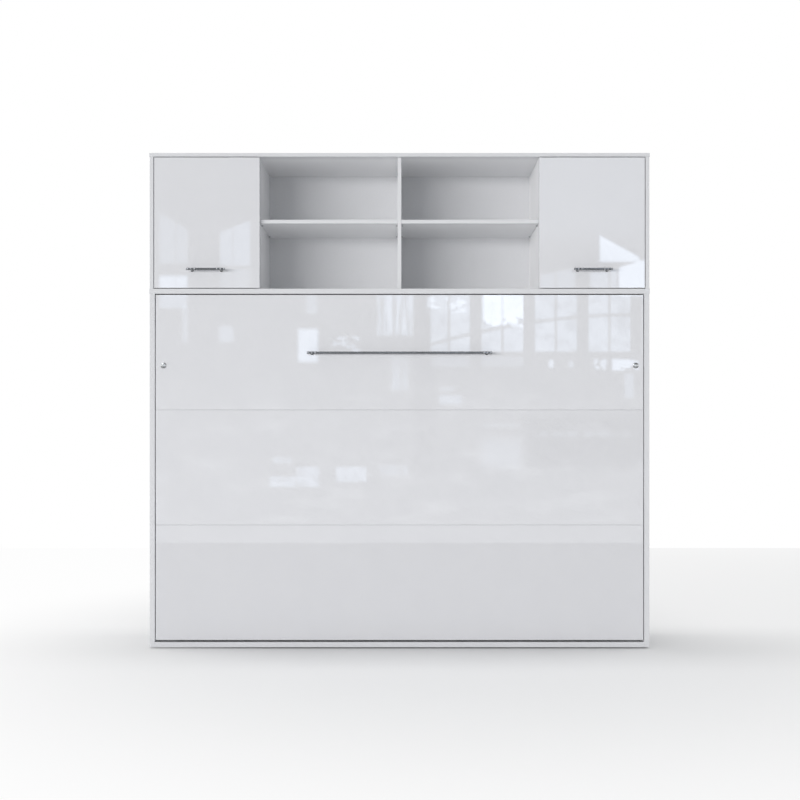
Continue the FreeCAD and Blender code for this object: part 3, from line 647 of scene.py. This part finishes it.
for side, sign in (("left", -1.0), ("right", 1.0)):
    plate_x = sign * (plate_high[0] - fitting_plate)
    places = [(plate_x, plate_screw_y, level) for level in plate_levels]
    fix(turned("pivot_plate_screws_" + side, pan_head(pan_radius, pan_rise), places, 0, -sign), "cabinet")
    places = [(sign * tube_face, tube_middle, level) for level in bolt_levels]
    fix(turned("bracket_washers_" + side, washer, places, 0, sign), "bed")
    fix(turned("bracket_bolts_" + side, hexagon, places, 0, sign, sides=6), "bed")
    places = [(sign * x, flap_back, handle_z) for x in post_places]
    fix(turned("flap_handle_screws_" + side, pan_head(pan_radius, pan_rise), places, 1), "flap_" + side)
    places = [(sign * (foot_low[0] + x), foot_face, foot_z + z) for x in foot_columns for z in foot_rows]
    small_pan = pan_head(small_pan_radius, small_pan_rise)
    fix(turned("strut_bracket_screws_" + side, small_pan, places, 1), "flap_" + side)
    places = [(sign * stud_face, stud_y, stud_z + z) for z in stud_rows]
    tiny_pan = pan_head(tiny_pan_radius, tiny_pan_rise)
    fix(turned("strut_base_screws_" + side, tiny_pan, places, 0, -sign), "cabinet")


# Gas springs and flap struts: drawn steel tubes in black paint with ground, polished rods.
# Their eyes turn on the studs.
black_paint, shader, place = finish_of("black_paint")
peel = place.noise(420.0, 2.0)
lay(shader, Base_Color=place.noise(18.0, 2.0).between(0.3, 0.7).blend(
    (0.012, 0.012, 0.013, 1.0), (0.018, 0.018, 0.019, 1.0)))
lay(shader, Roughness=peel.between(0.2, 0.8, 0.28, 0.4), Normal=raised(peel, 0.12, 0.0003))
dress(black_paint, "gas_cylinders", "strut_cylinder_left", "strut_cylinder_right")
ground_steel, shader, place = finish_of("ground_steel")
ground = place.noise(2400.0, 1.0)
lay(shader, Base_Color=ground.between(0.3, 0.7).blend((0.60, 0.61, 0.62, 1.0), (0.68, 0.69, 0.70, 1.0)))
lay(shader, Metallic=1.0, Roughness=ground.between(0.2, 0.8, 0.14, 0.22))
dress(ground_steel, "gas_rods", "strut_rod_left", "strut_rod_right")


# Slats: bowed laths of laminated birch, sprung between the rails.
# Clear lacquer over a straight pale grain with darker flecks.
birch, shader, place = finish_of("lacquered_birch")
grain = place.stretched((14.0, 6.0, 0.7)).noise(7.0, 5.0, 0.6)
pores = place.stretched((40.0, 20.0, 1.2)).noise(14.0, 3.0, 0.6)
along_slat = place.stretched((2.0, 0.2, 0.1)).noise(6.0, 1.0)
wood_tone = (grain * 0.7 + along_slat * 0.3).between(0.32, 0.68).blend(
    (0.56, 0.375, 0.20, 1.0), (0.70, 0.52, 0.32, 1.0))
wood_tone = pores.between(0.62, 0.72, 0.0, 0.35).blend(wood_tone, (0.40, 0.25, 0.12, 1.0))
lay(shader, Base_Color=wood_tone, Roughness=grain.between(0.3, 0.7, 0.34, 0.46))
lay(shader, Coat_Weight=0.25, Coat_Roughness=0.2, Normal=raised(pores, 0.12, 0.0004))
dress(birch, "slats_lower_row", "slats_upper_row")


# Small plastics: slat holders, floor glides and front stops in black, bushes in natural nylon.
# Moulded, with a fine spark-eroded grain.
moulded, shader, place = finish_of("moulded_black")
grain = place.noise(1100.0, 2.0)
lay(shader, Base_Color=place.noise(30.0).between(0.3, 0.7).blend(
    (0.017, 0.017, 0.018, 1.0), (0.026, 0.026, 0.027, 1.0)))
lay(shader, Roughness=grain.between(0.2, 0.8, 0.5, 0.62), Normal=raised(grain, 0.25, 0.0003))
dress(moulded, "slat_holders", "floor_glides", "front_stops")
nylon, shader, place = finish_of("natural_nylon")
grain = place.noise(700.0, 2.0)
lay(shader, Base_Color=grain.between(0.3, 0.7).blend((0.58, 0.58, 0.52, 1.0), (0.64, 0.64, 0.58, 1.0)))
lay(shader, Roughness=grain.between(0.2, 0.8, 0.42, 0.52))
dress(nylon, "pivot_bushes")


# Frame end plugs: caps of black plastic in the open ends of the frame's two end tubes.
# They are pushed in, and their rounded flanges cover the sawn edges.
plug_rise = 0.0030
plug_margin = 0.0003
end_low, end_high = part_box("frame_ends")
tube_wide = 0.030


def soft_block(name, places, half, power=0.22, rows=18, columns=36):
    """Blocks with rounded edges, all alike: a ball whose cosines and sines are raised to a small power,
    times three half sizes, set at every place."""
    rise = np.linspace(math.pi / 2, -math.pi / 2, rows)
    turn = np.arange(columns) * 2.0 * math.pi / columns + math.pi / columns
    flat = np.abs(np.cos(rise)) ** power
    flat[[0, -1]] = 0.0
    block = np.empty((rows, columns, 3))
    block[..., 0] = half[0] * flat[:, None] * np.sign(np.cos(turn)) * np.abs(np.cos(turn)) ** power
    block[..., 1] = half[1] * flat[:, None] * np.sign(np.sin(turn)) * np.abs(np.sin(turn)) ** power
    block[..., 2] = half[2] * (np.sign(np.sin(rise)) * np.abs(np.sin(rise)) ** power)[:, None]
    return skin(name, block + np.array(places)[:, None, None, :], round_v=True)


plug_y = (end_low[1] + end_high[1]) / 2
plug_x = end_high[0] - tube_wide / 2
plug_half = (tube_wide / 2 - plug_margin, (end_high[1] - end_low[1]) / 2 - plug_margin, plug_rise / 2)
plug_places = [(sign * plug_x, plug_y, level) for sign in (-1.0, 1.0)
               for level in (end_low[2] - plug_rise / 2, end_high[2] + plug_rise / 2)]
plugs = soft_block("frame_end_plugs", plug_places, plug_half)
carry(plugs, moulded, "bed")


# Flap bumpers: small domes of pale soft plastic on the front edges of the partitions.
# They are stuck on, and the closed flaps rest against them.
bumper_radius = 0.0042
bumper_rise = 0.0026
bumper_from_foot = 0.016
bumper_from_head = 0.030
bumper_plastic, shader, place = finish_of("bumper_plastic")
bumper_tone = place.noise(90.0).between(0.3, 0.7)
lay(shader, Base_Color=bumper_tone.blend((0.70, 0.71, 0.71, 1.0), (0.76, 0.77, 0.77, 1.0)))
lay(shader, Roughness=place.noise(600.0).between(0.2, 0.8, 0.22, 0.32), Coat_Weight=0.3)
edge_low, edge_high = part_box("hutch_partition_right")
bumper_turn = np.linspace(0.0, math.pi / 2, 7)
bumper_profile = [(bumper_radius * math.sin(t), bumper_rise * math.cos(t)) for t in bumper_turn]
bumper_profile.append((0.0, 0.0))
bumper_x = (edge_low[0] + edge_high[0]) / 2
bumper_places = [(sign * bumper_x, edge_low[1], level) for sign in (-1.0, 1.0)
                 for level in (edge_low[2] + bumper_from_foot, edge_high[2] - bumper_from_head)]
bumpers = turned("flap_bumpers", bumper_profile, bumper_places, 1, -1.0)
carry(bumpers, bumper_plastic, "cabinet")


# Mattress: a foam and spring core in a knitted cover, quilted in diamonds on both broad faces.
# A plain border band runs round it, and two elastic bands press it in where they cross.
mattress_low, mattress_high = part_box("mattress")
strap_low, strap_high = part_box("mattress_straps")
strap_half = 0.020
strap_centre = strap_high[0] - strap_half
mattress_middle = [(low + high) / 2 for low, high in zip(mattress_low, mattress_high)]
mattress_half = [(high - low) / 2 for low, high in zip(mattress_low, mattress_high)]
mattress_edge = 0.030
quilt_pitch = 0.150
quilt_depth = 0.0095
quilt_cell = 0.009
quilt_start = 0.012
quilt_full = 0.075
band_spread = 0.055
band_press = 0.0055
border_hollow = 0.0030
channel_place = 0.030
channel_width = 0.006
channel_depth = 0.0035
stitch_length = 0.010


def box_skin(half, counts):
    """The six faces of a box as grids of cells, welded along their edges.
    Each face takes two axes with evenly spaced points and holds the third at plus or minus its half size."""
    points = []
    faces = []
    start = 0
    for axis in range(3):
        first, second = (axis + 1) % 3, (axis + 2) % 3
        a = np.linspace(-half[first], half[first], counts[first] + 1)
        b = np.linspace(-half[second], half[second], counts[second] + 1)
        grid_a, grid_b = np.meshgrid(a, b, indexing="ij")
        index = np.arange(grid_a.size).reshape(grid_a.shape)
        for sign in (-1.0, 1.0):
            face = np.zeros(grid_a.shape + (3,))
            face[..., first] = grid_a
            face[..., second] = grid_b
            face[..., axis] = sign * half[axis]
            cells = np.stack([index[:-1, :-1], index[1:, :-1], index[1:, 1:], index[:-1, 1:]], axis=-1)
            cells = cells.reshape(-1, 4) + start
            faces.append(cells if sign > 0 else cells[:, ::-1])
            points.append(face.reshape(-1, 3))
            start += grid_a.size
    points = np.concatenate(points)
    faces = np.concatenate(faces)
    keys = np.round(points * 1e6).astype(np.int64)
    _, kept, joined = np.unique(keys, axis=0, return_index=True, return_inverse=True)
    return points[kept], joined.reshape(-1)[faces]


def smooth_step(value, low, high):
    """0 below low, 1 above high and a smooth cubic between."""
    t = np.clip((value - low) / (high - low), 0.0, 1.0)
    return t * t * (3.0 - 2.0 * t)


counts = [max(8, round(2 * half / quilt_cell)) for half in mattress_half]
shell, shell_faces = box_skin(mattress_half, counts)
half = np.array(mattress_half)
core = half - mattress_edge
inner = np.clip(shell, -core, core)
outward = shell - inner
reach = np.linalg.norm(outward, axis=1, keepdims=True)
normal = outward / np.maximum(reach, 1e-9)
rounded = inner + normal * mattress_edge
broad = np.abs(normal[:, 1]) ** 2
edge_x = half[0] - np.abs(rounded[:, 0])
edge_z = half[2] - np.abs(rounded[:, 2])
from_edge = np.minimum(edge_x, edge_z)
u = np.abs(np.sin(math.pi * (rounded[:, 0] + rounded[:, 2]) / quilt_pitch))
v = np.abs(np.sin(math.pi * (rounded[:, 0] - rounded[:, 2]) / quilt_pitch))
pillow = np.sqrt(np.clip(u * v, 0.0, 1.0))
from_band = np.abs(np.abs(rounded[:, 0]) - strap_centre)
under_band = 1.0 - smooth_step(from_band, strap_half, strap_half + band_spread)
fade = smooth_step(from_edge, quilt_start, quilt_full)
quilt = (pillow - 1.0) * quilt_depth * fade * (1.0 - under_band)
pressed = -band_press * under_band * fade
belly = np.cos(np.clip(np.abs(rounded[:, 1]) / half[1], 0.0, 1.0) * math.pi)
border = -border_hollow * np.clip(-belly, 0.0, 1.0) * (1.0 - broad)
channel = np.exp(-((np.abs(rounded[:, 1]) - channel_place) / channel_width) ** 2)
border = border - channel_depth * channel * (1.0 - broad)
shape = rounded + normal * ((quilt + pressed) * broad + border)[:, None]
body_points = shape + np.array(mattress_middle)
mattress = mesh_piece("mattress_body", body_points, shell_faces)
knit, shader, place = finish_of("knitted_cover")
rib = place.make("ShaderNodeTexWave", {"wave_profile": "SIN"}, {
    "Vector": place, "Scale": 260.0, "Distortion": 1.5, "Detail": 1.0})
yarn = place.noise(900.0, 3.0, 0.6)
wash = place.noise(5.0, 3.0)
knit_x, knit_y, knit_z = place.axes()
knit_x = knit_x - mattress_middle[0]
knit_z = knit_z - mattress_middle[2]
off_middle = knit_y - mattress_middle[1]
on_face = off_middle.size().between(mattress_half[1] - 0.022, mattress_half[1] - 0.014)
thread = 0.0
for crossing, running in ((knit_x + knit_z, knit_x - knit_z), (knit_x - knit_z, knit_x + knit_z)):
    off_line = (crossing / quilt_pitch + 0.5).part() - 0.5
    line = off_line.size().between(0.008, 0.013, 1.0, 0.0)
    dash = (running / stitch_length).part().between(0.62, 0.72, 1.0, 0.0)
    thread = thread + line * dash
thread = thread * on_face
knit_tone = wash.between(0.3, 0.7).blend((0.745, 0.742, 0.73, 1.0), (0.775, 0.772, 0.76, 1.0))
lay(shader, Base_Color=(thread * 0.7).blend(knit_tone, (0.50, 0.50, 0.505, 1.0)))
lay(shader, Roughness=yarn.between(0.2, 0.8, 0.82, 0.95), Specular_IOR_Level=0.2, Sheen_Weight=0.3)
lay(shader, Normal=raised(rib * 0.5 + yarn - thread * 1.5, 0.35, 0.0006))
carry(mattress, knit, "bed")
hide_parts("mattress")


# Piping: a round cord in tape, sewn round both edges of the mattress cover.
# It closes the seam between the quilted faces and the border band.
piping_radius = 0.0045
piping_corner = 0.030
piping_inset = 0.0155
piping_sink = 0.004


def loop_path(half_x, half_z, corner, steps):
    """A rounded rectangle in X and Z: quarter circles of the corner radius joined by straight runs.
    Gives points and outward directions, evenly spaced by angle in the corners; each straight run is a single
    step between them."""
    angle = np.linspace(0.0, math.pi / 2, steps)
    points = []
    outward = []
    for turn, (sx, sz) in enumerate(((1, 1), (-1, 1), (-1, -1), (1, -1))):
        t = angle + turn * math.pi / 2
        direction = np.stack([np.cos(t), np.sin(t)], axis=-1)
        points.append(np.array([sx * (half_x - corner), sz * (half_z - corner)]) + corner * direction)
        outward.append(direction)
    return np.concatenate(points), np.concatenate(outward)


def tube_loop(name, path, outward, y, centre, radius, sides=12):
    """A round tube along a closed path in X and Z: each section is a circle
    in the outward and Y directions."""
    angle = np.arange(sides) * 2 * math.pi / sides
    ring = path[:, None, :] + radius * np.cos(angle)[None, :, None] * outward[:, None, :]
    depth = y - radius * np.sin(angle)
    points = np.empty(ring.shape[:2] + (3,))
    points[..., 0] = ring[..., 0] + centre[0]
    points[..., 1] = depth[None, :]
    points[..., 2] = ring[..., 1] + centre[2]
    return skin(name, points, round_u=True, round_v=True)


tape, shader, place = finish_of("piping_tape")
twill = place.noise(1300.0, 2.0)
lay(shader, Base_Color=twill.between(0.3, 0.7).blend((0.42, 0.43, 0.45, 1.0), (0.50, 0.51, 0.53, 1.0)))
lay(shader, Roughness=twill.between(0.2, 0.8, 0.75, 0.9), Normal=raised(twill, 0.3, 0.0004))
outline, outline_out = loop_path(
    mattress_half[0] - piping_sink, mattress_half[2] - piping_sink, piping_corner, 12)
for side, sign in (("top", 1.0), ("under", -1.0)):
    y = mattress_middle[1] + sign * (mattress_half[1] - piping_inset)
    piping = tube_loop("piping_" + side, outline, outline_out, y, mattress_middle, piping_radius)
    carry(piping, tape, "bed")


# Hold-down bands: two woven elastic straps over the mattress, looped round the frame's long rails.
# Each is one flat band with rounded selvedges, pulled tight.
band_thick = 0.0018
band_width = 2 * strap_half
band_corner = 0.028
band_sink = 0.0045
strap_core = 0.001
warp_rate = 3600.0
weft_rate = 2600.0
webbing, shader, place = finish_of("woven_webbing")
weave_x, weave_y, weave_z = place.axes()
warp = (weave_x * warp_rate).wave()
weft = ((weave_z + weave_y) * weft_rate).wave()
weave = warp * 0.5 + weft * 0.5
lay(shader, Base_Color=weave.between(-0.8, 0.8).blend((0.055, 0.057, 0.062, 1.0), (0.095, 0.098, 0.105, 1.0)))
lay(shader, Roughness=0.8, Specular_IOR_Level=0.3, Normal=raised(weave, 0.4, 0.0004))


def band_path(low, high, far, near, corner, steps):
    """The line of a band in depth and height: up one side, over two rounded corners and down the other."""
    angle = np.linspace(0.0, math.pi / 2, steps)
    first = np.stack([far - corner + corner * np.sin(angle), low + corner - corner * np.cos(angle)], axis=-1)
    last = np.stack([far - corner + corner * np.cos(angle), high - corner + corner * np.sin(angle)], axis=-1)
    run = np.linspace(low + corner, high - corner, 40)[1:-1]
    middle = np.stack([np.full_like(run, far), run], axis=-1)
    legs = np.linspace(near, far - corner, 6)[:-1]
    rise = np.stack([legs, np.full_like(legs, low)], axis=-1)
    fall = np.stack([legs[::-1], np.full_like(legs, high)], axis=-1)
    return np.concatenate([rise, first, middle, last, fall])


def ribbon(name, path, across, width, thick, rows=9):
    """A thin band: a flattened oval section, width by thick, carried along a line of points.
    Its width lies in one direction, its thickness follows the line's normal,
    and its ends close to an edge."""
    along = np.gradient(path, axis=0)
    along /= np.linalg.norm(along, axis=1, keepdims=True)
    normal = np.cross(across, along)
    angle = np.arange(2 * rows) * math.pi / rows
    side = np.sign(np.cos(angle)) * np.abs(np.cos(angle)) ** 0.5 * width / 2
    lift = np.sign(np.sin(angle)) * np.abs(np.sin(angle)) ** 0.5 * thick / 2
    wide = side[None, :, None] * np.array(across)[None, None, :]
    band = path[:, None, :] + wide + lift[None, :, None] * normal[:, None, :]
    ends = path[[0, -1], None, :] + wide
    return skin(name, np.concatenate([ends[:1], band, ends[1:]]), round_v=True)


band_line = band_path(strap_low[2] + strap_core, strap_high[2] - strap_core,
                      strap_high[1] - strap_core - band_sink, strap_low[1], band_corner, 12)
for side, sign in (("left", -1.0), ("right", 1.0)):
    strap_path = np.insert(band_line, 0, sign * strap_centre, axis=1)
    strap = ribbon("hold_down_band_" + side, strap_path, (1.0, 0.0, 0.0), band_width, band_thick)
    carry(strap, webbing, "bed")
    if sign < 0:
        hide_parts("mattress_straps")


# Band buckles: moulded black cam buckles on the bands, at the open long side of the mattress.
# The band runs through the body, and the lever clamps it.
buckle_half = (0.0260, 0.0170, 0.0042)
lever_half = (0.0190, 0.0100, 0.0022)
buckle_offset = 0.030
buckle_sink = 0.0004
lever_sink = 0.0008
buckle_y = mattress_middle[1] - buckle_offset
buckle_z = strap_high[2] + buckle_half[2] - buckle_sink
lever_z = buckle_z + buckle_half[2] + lever_half[2] - lever_sink
for name, half_sizes, level in (("body", buckle_half, buckle_z), ("lever", lever_half, lever_z)):
    places = [(sign * strap_centre, buckle_y, level) for sign in (-1.0, 1.0)]
    buckle = soft_block("band_buckle_" + name, places, half_sizes)
    carry(buckle, moulded, "bed")


# Mattress handles: short loops of the piping's tape, sewn down at both ends on the two long sides.
# They stand a little off the border so that a hand goes under.
grip_half = 0.095
grip_bow = 0.0075
grip_width = 0.026
grip_thick = 0.0022
grip_sink = 0.0020
grip_places = (-0.80, 0.0, 0.80)
run = np.linspace(-1.0, 1.0, 41)
bow = grip_bow * (1.0 - np.abs(run) ** 6.0)
for side, sign in (("open", 1.0), ("pivot", -1.0)):
    seat = mattress_middle[2] + sign * (mattress_half[2] - grip_sink)
    for number, centre in enumerate(grip_places):
        path = np.stack([centre + sign * run * grip_half, np.full_like(run, mattress_middle[1]),
                         seat + sign * bow], axis=-1)
        loop_name = "mattress_grip_" + side + "_" + str(number)
        loop = ribbon(loop_name, path, (0.0, 1.0, 0.0), grip_width, grip_thick)
        carry(loop, tape, "bed")


# Mattress vents: plated eyelets in the border at both short ends, pressed through the cover.
# They let the core breathe.
vent_radius = 0.0085
vent_hole = 0.0040
vent_rise = 0.0012
vent_lip = 0.0002
vent_floor = -0.0004
vent_seat = -0.0020
vent_sink = 0.0030
vent_levels = (-0.34, -0.30, 0.30, 0.34)
vent_profile = [(0.0, vent_floor), (vent_hole, vent_floor), (vent_hole, vent_rise * 0.6),
                ((vent_hole + vent_radius) / 2, vent_rise), (vent_radius, vent_lip),
                (vent_radius, vent_seat), (0.0, vent_seat)]
for side, sign in (("left", -1.0), ("right", 1.0)):
    vent_x = sign * (mattress_half[0] - vent_sink)
    places = [(vent_x, mattress_middle[1], mattress_middle[2] + z) for z in vent_levels]
    fix(turned("mattress_vents_" + side, vent_profile, places, 0, sign), "bed")
